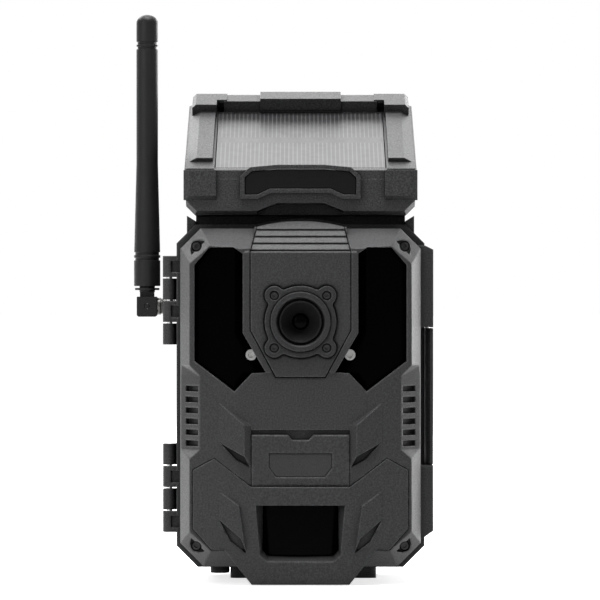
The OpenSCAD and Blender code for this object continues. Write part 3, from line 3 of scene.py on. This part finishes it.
import bpy
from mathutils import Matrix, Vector


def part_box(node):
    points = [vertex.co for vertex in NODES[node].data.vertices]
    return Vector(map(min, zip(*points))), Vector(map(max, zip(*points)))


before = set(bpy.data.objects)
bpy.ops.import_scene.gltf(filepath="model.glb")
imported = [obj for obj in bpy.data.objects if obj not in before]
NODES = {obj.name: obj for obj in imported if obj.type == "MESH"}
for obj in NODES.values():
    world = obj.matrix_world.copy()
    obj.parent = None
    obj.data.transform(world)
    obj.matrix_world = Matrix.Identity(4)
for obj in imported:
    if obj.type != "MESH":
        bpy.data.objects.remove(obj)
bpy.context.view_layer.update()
scene = bpy.context.scene
scene.view_settings.view_transform = "Standard"

MM = 0.001  # metres in a millimetre
PER_METRE = 1000  # millimetres in a metre
WHITE = (1, 1, 1, 1)
EDGE_SAMPLES = 6  # rays of the nodes that look for edges and hollows
MIX_INPUTS = (0, 6, 7)  # factor and the two colours of a colour mix node
MIX_RESULT = 2


def tint(colour, factor):
    """The colour made darker or paler by one factor."""
    return tuple(c * factor for c in colour)


class Graph:
    """A material's node tree, with short calls to add and join nodes."""

    def __init__(self, name):
        self.material = bpy.data.materials.new(name)
        self.material.use_nodes = True
        self.tree = self.material.node_tree
        self.tree.nodes.clear()
        self.out = self.add("ShaderNodeOutputMaterial")

    def add(self, kind, **settings):
        """A new node with its settings."""
        node = self.tree.nodes.new(kind)
        for key, value in settings.items():
            setattr(node, key, value)
        return node

    def join(self, source, target):
        """A link from an output to an input."""
        self.tree.links.new(source, target)

    def feed(self, socket, value):
        """Joins an output to the input, or sets a number or a colour on it."""
        if isinstance(value, bpy.types.NodeSocket):
            self.join(value, socket)
        elif isinstance(value, tuple):
            socket.default_value = (*value, 1)
        else:
            socket.default_value = value

    def place(self, scale=(1, 1, 1), rotation=(0, 0, 0)):
        """Object coordinates in millimetres, stretched and turned."""
        coords = self.add("ShaderNodeTexCoord")
        mapping = self.add("ShaderNodeMapping")
        mapping.inputs["Scale"].default_value = [s * PER_METRE for s in scale]
        mapping.inputs["Rotation"].default_value = rotation
        self.join(coords.outputs["Object"], mapping.inputs["Vector"])
        return mapping.outputs["Vector"]

    def noise(self, scale, detail=3.0, rough=0.55, vector=None):
        """Noise with scale waves to the millimetre, unless vector is stretched."""
        node = self.add("ShaderNodeTexNoise")
        node.inputs["Scale"].default_value = scale
        node.inputs["Detail"].default_value = detail
        node.inputs["Roughness"].default_value = rough
        self.join(vector or self.place(), node.inputs["Vector"])
        return node.outputs["Fac"]

    def ramp(self, value, *stops):
        """Colour that goes from the first stop to the second as the value does."""
        node = self.add("ShaderNodeValToRGB")
        for element, (spot, colour) in zip(node.color_ramp.elements, stops):
            element.position = spot
            element.color = (*colour, 1)
        self.join(value, node.inputs["Fac"])
        return node.outputs["Color"]

    def span(self, value, low, high, start=0.0, end=1.0):
        """Number that goes from low to high as the value goes from start to end."""
        node = self.add("ShaderNodeMapRange")
        node.inputs["From Min"].default_value = start
        node.inputs["From Max"].default_value = end
        node.inputs["To Min"].default_value = low
        node.inputs["To Max"].default_value = high
        self.join(value, node.inputs["Value"])
        return node.outputs["Result"]

    def math(self, operation, *values, clamp=False):
        """One sum on one or two values."""
        node = self.add("ShaderNodeMath", operation=operation, use_clamp=clamp)
        for socket, value in zip(node.inputs, values):
            self.feed(socket, value)
        return node.outputs["Value"]

    def mix(self, factor, a, b, blend="MIX"):
        """Two colours mixed, or multiplied."""
        node = self.add("ShaderNodeMix", data_type="RGBA", blend_type=blend)
        for index, value in zip(MIX_INPUTS, (factor, a, b)):
            self.feed(node.inputs[index], value)
        return node.outputs[MIX_RESULT]

    def bump(self, height, strength, depth, normal=None):
        """Normal with a relief of depth millimetres."""
        node = self.add("ShaderNodeBump")
        node.inputs["Strength"].default_value = strength
        node.inputs["Distance"].default_value = depth * MM
        self.join(height, node.inputs["Height"])
        if normal is not None:
            self.join(normal, node.inputs["Normal"])
        return node.outputs["Normal"]

    def edges(self, radius):
        """Normal rounded over nearby edges, and how far it leans from the face's own."""
        node = self.add("ShaderNodeBevel", samples=EDGE_SAMPLES)
        node.inputs["Radius"].default_value = radius * MM
        rounded = node.outputs["Normal"]
        along = self.add("ShaderNodeVectorMath", operation="DOT_PRODUCT")
        self.join(rounded, along.inputs[0])
        self.join(self.add("ShaderNodeNewGeometry").outputs["Normal"], along.inputs[1])
        return rounded, self.math("SUBTRACT", 1.0, along.outputs["Value"], clamp=True)

    def hollows(self, depth):
        """0 deep in a narrow hollow, 1 on an open face."""
        node = self.add("ShaderNodeAmbientOcclusion", samples=EDGE_SAMPLES)
        node.inputs["Distance"].default_value = depth * MM
        return node.outputs["AO"]

    def surface(self, **sockets):
        """The principled shader, with constants set on its sockets and the rest joined."""
        shader = self.add("ShaderNodeBsdfPrincipled")
        for key, value in sockets.items():
            self.feed(shader.inputs[key.replace("_", " ")], value)
        self.join(shader.outputs["BSDF"], self.out.inputs["Surface"])


# Moulded plastic of any colour
HOLLOW_DEPTH = 2.6  # mm within which a wall makes a hollow
WEAR_HIGHLIGHT_START, WEAR_HIGHLIGHT_END = 0.05, 0.22  # lean of the normal from an unpaled edge to a fully paled one, paled as wear and painted highlight
WEAR_HIGHLIGHT_PALER, WEAR_HIGHLIGHT_LIFT = 3.0, 0.025  # factor and step from the plastic's colour to the paled edge colour of wear and painted highlight
WEAR_HIGHLIGHT_CLEAR = 0.25  # span of openness over which the edge paling of wear and painted highlight begins


def moulded(name, colour, rough=0.48, grain=0.5, speck=0.3, relief=0.07, specular=0.16,
            edge_wear_highlight=0.9, edge=0.55, hollow_shade=0.15, bare=0.6, deep=(0.25, 0.85)):
    """Moulded plastic with spark-eroded grain, faint flow marks, edges paled both as wear and as
    painted highlight, and painted shade in its hollows.

    grain, relief and edge are in millimetres. speck is the grain's contrast, edge_wear_highlight
    the most that an edge is paled as wear and painted highlight, bare how open it lies where that
    starts, hollow_shade the colour factor of the painted shade in the deepest hollow, and deep the
    openness of that hollow and of a face that gets no painted shade.
    """
    g = Graph(name)
    fine = g.noise(1 / grain, detail=2, rough=0.5)
    flow = g.noise(0.035, detail=3, rough=0.5)
    base = g.ramp(flow, (0.3, tint(colour, 0.95)), (0.7, tint(colour, 1.05)))
    rounded, lean = g.edges(edge)
    openness = g.hollows(HOLLOW_DEPTH)
    patchy = g.span(g.noise(0.5, detail=4), low=0.45, high=1, start=0.35, end=0.65)
    # edges paled, partly as wear and partly as a painted highlight where edges would catch the
    # light
    wear_and_highlight = g.math("MULTIPLY", g.span(lean, 0, edge_wear_highlight, WEAR_HIGHLIGHT_START, WEAR_HIGHLIGHT_END), patchy)
    wear_and_highlight = g.math("MULTIPLY", wear_and_highlight, g.span(openness, 0, 1, bare, bare + WEAR_HIGHLIGHT_CLEAR))
    base = g.mix(wear_and_highlight, base, tuple(min(1, c * WEAR_HIGHLIGHT_PALER + WEAR_HIGHLIGHT_LIFT) for c in colour))
    specks = g.span(fine, low=1 - speck, high=1 + speck, start=0.32, end=0.68)
    base = g.mix(1.0, base, specks, "MULTIPLY")
    # painted shade: the colour is darkened in hollows, seams and at the foot of walls, where shade
    # falls
    base = g.mix(1.0, base, g.span(openness, hollow_shade, 1, *deep), "MULTIPLY")
    roughness = g.span(fine, low=rough + 0.05, high=rough - 0.05, start=0.3, end=0.7)
    normal = g.bump(fine, strength=0.5, depth=relief, normal=rounded)
    g.surface(Base_Color=base, Roughness=roughness, Normal=normal, Specular_IOR_Level=specular)
    return g.material


def polished(name, colour, rough, specular):
    """Polished plastic with a faint haze and fine wipe marks."""
    g = Graph(name)
    haze = g.noise(0.09, detail=4)
    slanted = g.place(scale=(0.3, 1, 2.4), rotation=(0.2, 0.1, 0.5))
    marks = g.noise(0.5, detail=6, rough=0.7, vector=slanted)
    base = g.ramp(haze, (0.35, tint(colour, 0.7)), (0.75, tint(colour, 1.5)))
    roughness = g.span(marks, low=rough, high=rough + 0.07, start=0.35, end=0.75)
    normal = g.bump(haze, strength=0.02, depth=0.02)
    g.surface(Base_Color=base, Roughness=roughness, Normal=normal, Specular_IOR_Level=specular)
    return g.material


def metal(name, colour, rough, turned=(1, 1, 1)):
    """Machined metal with fine tool marks and slight tarnish."""
    g = Graph(name)
    marks = g.noise(3, detail=3, rough=0.6, vector=g.place(turned))
    tarnish = g.noise(0.3, detail=5)
    base = g.ramp(tarnish, (0.3, tint(colour, 0.78)), (0.65, colour))
    roughness = g.span(marks, low=rough - 0.06, high=rough + 0.14, start=0.3, end=0.7)
    normal = g.bump(marks, strength=0.2, depth=0.03)
    g.surface(Base_Color=base, Roughness=roughness, Metallic=1.0, Normal=normal)
    return g.material


def rubbery(name, colour, rough, specular):
    """Soft moulded skin with a satin sheen."""
    g = Graph(name)
    fine = g.noise(2.2, detail=3)
    cloud = g.noise(0.08, detail=4)
    base = g.ramp(cloud, (0.3, tint(colour, 0.85)), (0.7, tint(colour, 1.2)))
    sheen = g.noise(0.25, detail=4)
    roughness = g.span(sheen, low=rough - 0.05, high=rough + 0.08, start=0.3, end=0.7)
    normal = g.bump(fine, strength=0.25, depth=0.03)
    g.surface(Base_Color=base, Roughness=roughness, Normal=normal, Specular_IOR_Level=specular)
    return g.material


# Solar panel
FINGER_PITCH = 1.36  # mm between the grid lines
FINGER_SHARE = 0.65  # strength of a grid line over its cell
BAND_PLACE = 0.487  # middle of the blank band, as a share of the panel's depth
BAND_CORE, BAND_EDGE = 0.042, 0.05  # half width of the band, before and after its soft edge


def solar_cells():
    """Laminate over cells, with fine grid lines up the slope and a blank band across them."""
    g = Graph("solar_cells")
    split = g.add("ShaderNodeSeparateXYZ")
    g.join(g.place(), split.inputs["Vector"])
    phase = g.math("MULTIPLY", split.outputs["X"], 2 * math.pi / FINGER_PITCH)
    finger = g.span(g.math("SINE", phase), low=0, high=1, start=0.35, end=0.95)
    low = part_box("solar_panel")[0].y * PER_METRE
    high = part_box("solar_panel")[1].y * PER_METRE
    middle = low + BAND_PLACE * (high - low)
    away = g.math("ABSOLUTE", g.math("SUBTRACT", split.outputs["Y"], middle))
    band = g.span(away, 1, 0, BAND_CORE * (high - low), BAND_EDGE * (high - low))
    cloud = g.noise(0.05, detail=3)
    cell = g.ramp(cloud, (0.3, (0.012, 0.012, 0.013)), (0.7, (0.015, 0.015, 0.016)))
    lined = g.mix(g.math("MULTIPLY", finger, FINGER_SHARE), cell, (0.06, 0.06, 0.0605))
    base = g.mix(band, lined, (0.018, 0.018, 0.0185))
    roughness = g.span(g.noise(0.3, detail=4), low=0.3, high=0.36, start=0.3, end=0.7)
    normal = g.bump(finger, strength=0.08, depth=0.03)
    g.surface(Base_Color=base, Roughness=roughness, Normal=normal, Specular_IOR_Level=0.225)
    return g.material


def board_mask():
    """Solder mask with faint tracks under it."""
    g = Graph("board_mask")
    cells = g.add("ShaderNodeTexVoronoi", distance="MANHATTAN", feature="DISTANCE_TO_EDGE")
    cells.inputs["Scale"].default_value = 0.35
    g.join(g.place(), cells.inputs["Vector"])
    track = g.span(cells.outputs["Distance"], low=1, high=0, start=0.04, end=0.09)
    base = g.mix(track, (0.012, 0.09, 0.04), (0.03, 0.17, 0.08))
    roughness = g.span(g.noise(0.5), low=0.3, high=0.45)
    g.surface(Base_Color=base, Roughness=roughness, Normal=g.bump(track, strength=0.3, depth=0.04))
    return g.material


def cell_wrap():
    """Metallic sleeve of a cell, with a fine lengthwise sheen."""
    g = Graph("cell_wrap")
    marks = g.noise(1.5, detail=3, rough=0.6, vector=g.place((1, 1, 0.1)))
    base = g.ramp(marks, (0.3, (0.42, 0.27, 0.06)), (0.7, (0.62, 0.44, 0.14)))
    roughness = g.span(marks, low=0.25, high=0.4)
    normal = g.bump(marks, strength=0.1, depth=0.02)
    g.surface(Base_Color=base, Roughness=roughness, Metallic=0.7, Normal=normal)
    return g.material


CHARCOAL = (0.034, 0.034, 0.0352)
# These plastics differ partly in the painted shade in their hollows, and in how far their edges
# are paled as wear and as painted highlight
CASE = moulded("case_plastic", (0.033, 0.033, 0.0345))
DOOR = moulded("door_plastic", CHARCOAL, edge_wear_highlight=1.0, edge=0.9, bare=0.4, deep=(0.4, 0.95))
HEAD = moulded("head_plastic", CHARCOAL, rough=0.45, speck=0.5, relief=0.09, edge=0.4,
               deep=(0.45, 0.98))
PANEL = moulded("panel_plastic", CHARCOAL, edge_wear_highlight=1.0, edge=1.5, hollow_shade=0.5, bare=0.25)
DARK = moulded("dark_plastic", (0.021, 0.021, 0.022), edge_wear_highlight=1.0, edge=0.9)
BADGE = moulded("badge_plastic", (0.004, 0.004, 0.0043), rough=0.42, grain=0.24, specular=0.08,
                edge_wear_highlight=0.2)
LABEL = moulded("label_plastic", CHARCOAL, rough=0.42, grain=0.24)
BLACK = moulded("black_plastic", (0.008, 0.008, 0.008), rough=0.55, edge_wear_highlight=0.2, specular=0.06)
LENS = moulded("lens_black", (0.009, 0.009, 0.0092), rough=0.4, grain=0.2, edge_wear_highlight=0.3, specular=0.1,
               edge=0.15, hollow_shade=0.4)
RED = moulded("red_key", (0.42, 0.03, 0.025), rough=0.45)
GREY = moulded("grey_key", (0.24, 0.24, 0.25), rough=0.45)
CARD = moulded("card_plastic", (0.03, 0.05, 0.14), rough=0.4)
WINDOW = polished("window_black", (0.0004, 0.0004, 0.0005), rough=0.1, specular=0.01)
# The front element is opaque near-black glass: painted shade standing in for the dark inside of
# the lens behind it
PUPIL_SHADE_GLASS = polished("front_element", (0.0006, 0.0006, 0.001), rough=0.06, specular=0.015)
RESIN = polished("emitter_resin", (0.02, 0.014, 0.02), rough=0.12, specular=0.5)
STEEL = metal("steel", (0.72, 0.72, 0.71), rough=0.25)
NICKEL = metal("connector_metal", (0.08, 0.079, 0.077), rough=0.34, turned=(8, 1, 1))
ZINC = metal("plated_screw", (0.2, 0.2, 0.197), rough=0.32)
BRASS = metal("brass", (0.74, 0.53, 0.24), rough=0.3, turned=(1, 1, 6))
RING_SCREW = moulded("dark_screw", (0.013, 0.013, 0.0134), rough=0.36, grain=0.15, specular=0.2,
                     edge=0.2, hollow_shade=0.3)
SCREW = moulded("blackened_screw", (0.034, 0.034, 0.0346), rough=0.36, grain=0.15, specular=0.22,
                edge=0.12, hollow_shade=0.7)
RUBBER = rubbery("rubber", (0.012, 0.012, 0.0125), rough=0.65, specular=0.2)
WHIP = rubbery("antenna_skin", (0.009, 0.009, 0.0094), rough=0.45, specular=0.14)
SOLAR = solar_cells()
BOARD = board_mask()
CELL = cell_wrap()

# Nodes that aren't listed are steel
FINISH = {
    "rear_housing": CASE, "neck_block": CASE, "strap_bracket": CASE, "latch_lever": CASE,
    "front_bezel": DOOR, "lens_plate": DOOR, "lower_bib": DOOR,
    "chest_panel": PANEL, "label_plate": LABEL,
    "head_shell": HEAD, "head_frame": HEAD, "badge_frame": HEAD, "badge_plate": BADGE,
    "solar_panel": SOLAR, "panel_tray": BLACK,
    "lens_ring": DARK, "lens_barrel": LENS, "lens_glass": PUPIL_SHADE_GLASS, "camera_module": BLACK,
    "window_left": WINDOW, "window_right": WINDOW, "motion_lens": WINDOW,
    "battery_tray": BLACK, "inner_cover": BLACK,
    "power_jack": BLACK, "power_switch": BLACK, "test_switch": BLACK,
    "power_button": RED, "test_button": GREY, "memory_card": CARD,
    "base_socket": BRASS, "antenna_jack": NICKEL, "antenna_nut": NICKEL,
    "antenna_whip": WHIP, "antenna_core": WHIP, "antenna_elbow": WHIP, "elbow_pin": WHIP,
    "door_gasket": RUBBER, "jack_plug": RUBBER,
    "main_board": BOARD, "led_board_left": BOARD, "led_board_right": BOARD,
    "charge_board": BOARD, "infrared_leds": RESIN,
    "battery_cells": CELL, "backup_battery": CELL,
    "corner_screws": SCREW, "bracket_screws": SCREW, "ring_screws": RING_SCREW,
    "window_screws": ZINC,
}

# Edge rounding of the mesh in millimetres
ROUND_USUAL = 0.15
ROUND = {"label_plate": 0.12, "antenna_elbow": 0.25, "antenna_whip": 0.1}
# Shells with many small faces, and faces with holes, which keep their own mesh
SHELLS = (
    "front_bezel", "rear_housing", "lower_bib", "head_frame", "head_shell", "neck_block",
    "strap_bracket", "lens_plate", "lens_ring", "lens_barrel", "lens_glass", "window_left",
    "window_right", "badge_frame", "chest_panel", "latch_lever", "door_gasket", "inner_cover",
    "infrared_leds", "antenna_core",
)
WELD_GAP = 1e-6  # metres
FLAT_ANGLE = math.radians(0.6)
SHARP_ANGLE = math.radians(24)
FACE_WEIGHT = 80


def smooth_faces():
    """Group for a modifier that drops stored normals and shades the faces smooth."""
    group = bpy.data.node_groups.new("smooth_faces", "GeometryNodeTree")
    for way in ("INPUT", "OUTPUT"):
        group.interface.new_socket("Geometry", in_out=way, socket_type="NodeSocketGeometry")
    start = group.nodes.new("NodeGroupInput")
    bare = group.nodes.new("GeometryNodeRemoveAttribute")
    bare.inputs["Name"].default_value = "custom_normal"
    smooth = group.nodes.new("GeometryNodeSetShadeSmooth")
    end = group.nodes.new("NodeGroupOutput")
    for before, after in ((start, bare), (bare, smooth), (smooth, end)):
        group.links.new(before.outputs["Geometry"], after.inputs["Geometry"])
    return group


SMOOTH = smooth_faces()


def soften(obj, width):
    """Joins the faces, rounds the edges and evens out the shading, by modifiers alone."""
    smooth = obj.modifiers.new("smooth", "NODES")
    smooth.node_group = SMOOTH
    weld = obj.modifiers.new("weld", "WELD")
    weld.merge_threshold = WELD_GAP
    flat = obj.modifiers.new("flat", "DECIMATE")
    flat.decimate_type = "DISSOLVE"
    flat.angle_limit = FLAT_ANGLE
    bevel = obj.modifiers.new("round", "BEVEL")
    bevel.width = width * MM
    bevel.segments = 2
    bevel.limit_method = "ANGLE"
    bevel.angle_limit = SHARP_ANGLE
    bevel.use_clamp_overlap = True
    bevel.miter_outer = "MITER_ARC"
    even = obj.modifiers.new("even", "WEIGHTED_NORMAL")
    even.keep_sharp = False
    even.weight = FACE_WEIGHT


for name, obj in NODES.items():
    obj.data.materials.clear()
    obj.data.materials.append(FINISH.get(name, STEEL))
    if name not in SHELLS:
        soften(obj, ROUND.get(name, ROUND_USUAL))

# Camera, level with the middle of the photograph; all in metres apart from the sensor
REACH = 1.2  # from the camera to the front plane
FRONT = -0.043  # place of that plane
WIDE = 0.1878  # width of the view there
ASIDE, LEVEL = -0.00016, 0.0895
SENSOR = 36  # mm
camera = bpy.data.objects.new("camera", bpy.data.cameras.new("camera"))
scene.collection.objects.link(camera)
camera.location = (ASIDE, FRONT - REACH, LEVEL)
camera.rotation_euler = (math.pi / 2, 0, 0)
camera.data.sensor_width = SENSOR
camera.data.lens = SENSOR * REACH / WIDE
camera.data.clip_start = 0.01
camera.data.clip_end = 50
scene.camera = camera


def lamp(name, place, target, size, power):
    """Soft rectangular lamp that looks at a point."""
    data = bpy.data.lights.new(name, "AREA")
    data.shape = "RECTANGLE"
    data.size, data.size_y = size
    data.energy = power
    obj = bpy.data.objects.new(name, data)
    obj.visible_camera = False
    scene.collection.objects.link(obj)
    obj.location = place
    obj.rotation_euler = (Vector(target) - Vector(place)).to_track_quat("-Z", "Y").to_euler()


MIDDLE = (0, 0, 0.08)
lamp("top_back", (-0.1, 1.0, 0.8), target=(0, 0, 0.12), size=(1.4, 1.0), power=14)
lamp("top", (0, -0.1, 1.2), target=(0, 0, 0.1), size=(0.7, 0.8), power=31)
lamp("right_back", (0.75, 1.0, 0.2), target=MIDDLE, size=(0.5, 1.2), power=18)
lamp("left_back", (-0.75, 1.0, 0.2), target=MIDDLE, size=(0.4, 1.2), power=2)
lamp("left_high", (-0.65, 0.6, 0.95), target=MIDDLE, size=(0.5, 0.5), power=7)
lamp("front_left", (-0.24, -0.26, 0.22), target=MIDDLE, size=(0.2, 0.2), power=0.42)


def seen_rays(tree):
    """1 for the rays that show the background: from the camera, in gloss and through glass."""
    rays = tree.nodes.new("ShaderNodeLightPath")
    total = rays.outputs["Is Camera Ray"]
    for name in ("Is Glossy Ray", "Is Transmission Ray"):
        node = tree.nodes.new("ShaderNodeMath")
        node.operation = "MAXIMUM"
        tree.links.new(total, node.inputs[0])
        tree.links.new(rays.outputs[name], node.inputs[1])
        total = node.outputs["Value"]
    return total


# White surround where it is seen, with a dimmer grey as the light of the room
SKY_LIGHT = 1.0
ROOM_LIGHT = 0.1
world = bpy.data.worlds.new("surround")
scene.world = world
world.use_nodes = True
tree = world.node_tree
tree.nodes.clear()
sky = tree.nodes.new("ShaderNodeBackground")
room = tree.nodes.new("ShaderNodeBackground")
for background, strength in ((sky, SKY_LIGHT), (room, ROOM_LIGHT)):
    background.inputs["Color"].default_value = WHITE
    background.inputs["Strength"].default_value = strength
blend = tree.nodes.new("ShaderNodeMixShader")
target = tree.nodes.new("ShaderNodeOutputWorld")
tree.links.new(seen_rays(tree), blend.inputs["Fac"])
tree.links.new(room.outputs["Background"], blend.inputs[1])
tree.links.new(sky.outputs["Background"], blend.inputs[2])
tree.links.new(blend.outputs["Shader"], target.inputs["Surface"])

# Pale floor that keeps the object's shadow, fades into the surround and throws back little light
FLOOR_SIZE = 40  # metres
FLOOR_DARKEST, FLOOR_PALEST = 0.86, 0.9
BOUNCE = 0.25
GLOW_NEAR, GLOW_FAR = 0.74, 1.0
FADE_START, FADE_END = 250, 1200  # mm from the object
g = Graph("pale_floor")
cloud = g.noise(0.004, detail=3)
tone = g.ramp(cloud, (0.3, (FLOOR_DARKEST,) * 3), (0.7, (FLOOR_PALEST,) * 3))
diffuse = g.add("ShaderNodeBsdfDiffuse")
g.join(tone, diffuse.inputs["Color"])
bounce = g.add("ShaderNodeBsdfDiffuse")
g.feed(bounce.inputs["Color"], (BOUNCE,) * 3)
glow = g.add("ShaderNodeEmission")
reach = g.add("ShaderNodeVectorMath", operation="LENGTH")
g.join(g.place(), reach.inputs[0])
fade = g.span(reach.outputs["Value"], GLOW_NEAR, GLOW_FAR, FADE_START, FADE_END)
g.join(fade, glow.inputs["Strength"])
lit = g.add("ShaderNodeAddShader")
g.join(diffuse.outputs["BSDF"], lit.inputs[0])
g.join(glow.outputs["Emission"], lit.inputs[1])
seen = g.add("ShaderNodeMixShader")
g.join(seen_rays(g.tree), seen.inputs["Fac"])
g.join(bounce.outputs["BSDF"], seen.inputs[1])
g.join(lit.outputs["Shader"], seen.inputs[2])
g.join(seen.outputs["Shader"], g.out.inputs["Surface"])
bpy.ops.mesh.primitive_plane_add(size=FLOOR_SIZE, location=(0, 0, 0))
floor = bpy.context.object
floor.name = "floor"
floor.data.materials.append(g.material)
